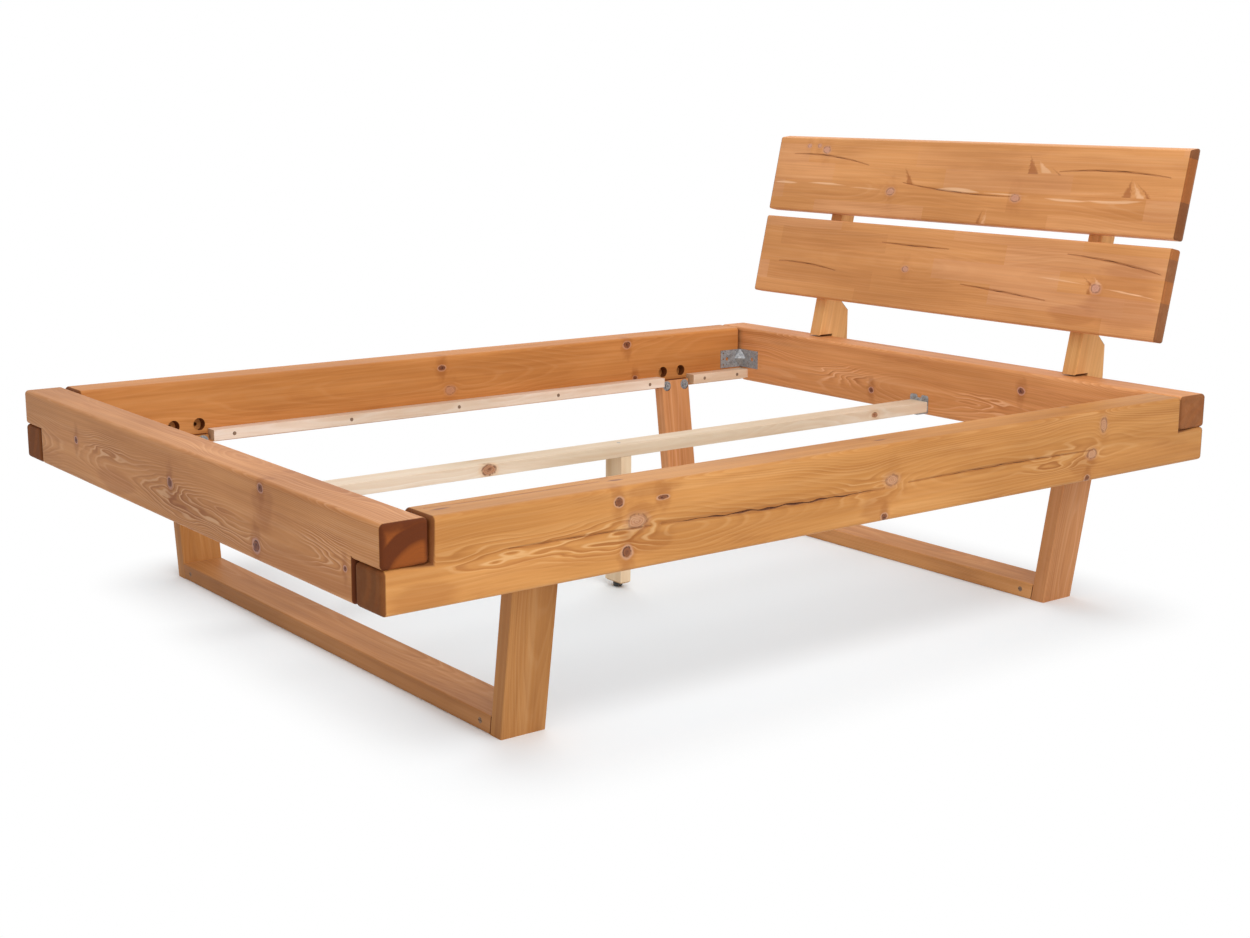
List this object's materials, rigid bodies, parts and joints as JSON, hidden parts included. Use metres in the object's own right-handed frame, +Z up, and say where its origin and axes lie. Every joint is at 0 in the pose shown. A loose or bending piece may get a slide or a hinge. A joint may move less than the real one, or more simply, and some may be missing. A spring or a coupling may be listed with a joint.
{
  "type": "wooden bed",
  "caption": "Low double bed of solid oiled pine: heavy half-lapped beams on leaning sled legs, a leaning plank headboard, and side cleats and a centre beam for a slatted base.",
  "frame": {"origin": "on the floor under the middle of the beam frame, at the centre of the centre leg's glide", "axes": "+Z up, +Y from the foot of the bed towards the headboard, +X towards the right-hand side rail as seen from the foot"},
  "size_m": [1.63, 2.318, 1.0233],
  "materials": {
    "oiled_pine": "oiled, satin",
    "pale_pine": "planed, bare",
    "zinc_steel": "galvanised",
    "black_glide": "moulded, matt"
  },
  "bodies": {
    "root": {"foot_beam": "oiled_pine", "head_beam": "oiled_pine", "side_rail_left": "oiled_pine", "side_rail_right": "oiled_pine", "foot_sled_post_left": "oiled_pine", "foot_sled_post_right": "oiled_pine", "foot_sled_runner": "oiled_pine", "head_sled_post_left": "oiled_pine", "head_sled_post_right": "oiled_pine", "head_sled_runner": "oiled_pine", "long_cleat_left": "pale_pine", "long_cleat_right": "pale_pine", "foot_cleat_left": "pale_pine", "foot_cleat_right": "pale_pine", "head_cleat_left": "pale_pine", "head_cleat_right": "pale_pine", "centre_beam": "pale_pine", "centre_leg": "pale_pine", "centre_leg_glide": "black_glide", "beam_hanger_foot": "zinc_steel", "beam_hanger_head": "zinc_steel", "corner_bracket_foot_left": "zinc_steel", "corner_bracket_foot_right": "zinc_steel", "corner_bracket_head_left": "zinc_steel", "corner_bracket_head_right": "zinc_steel", "headboard_plank_lower": "oiled_pine", "headboard_plank_upper": "oiled_pine", "headboard_support_left": "oiled_pine", "headboard_support_right": "oiled_pine", "bracket_screws": "zinc_steel", "centre_leg_screw": "zinc_steel", "cleat_screws": "zinc_steel", "hanger_ear_screws": "zinc_steel", "hanger_shelf_screws": "zinc_steel", "plank_screws": "zinc_steel", "runner_cam_bolts": "zinc_steel", "runner_cams": "zinc_steel", "sled_bolts": "zinc_steel", "sled_washers": "zinc_steel", "support_bolts": "zinc_steel", "support_washers": "zinc_steel"}
  },
  "joints": []
}
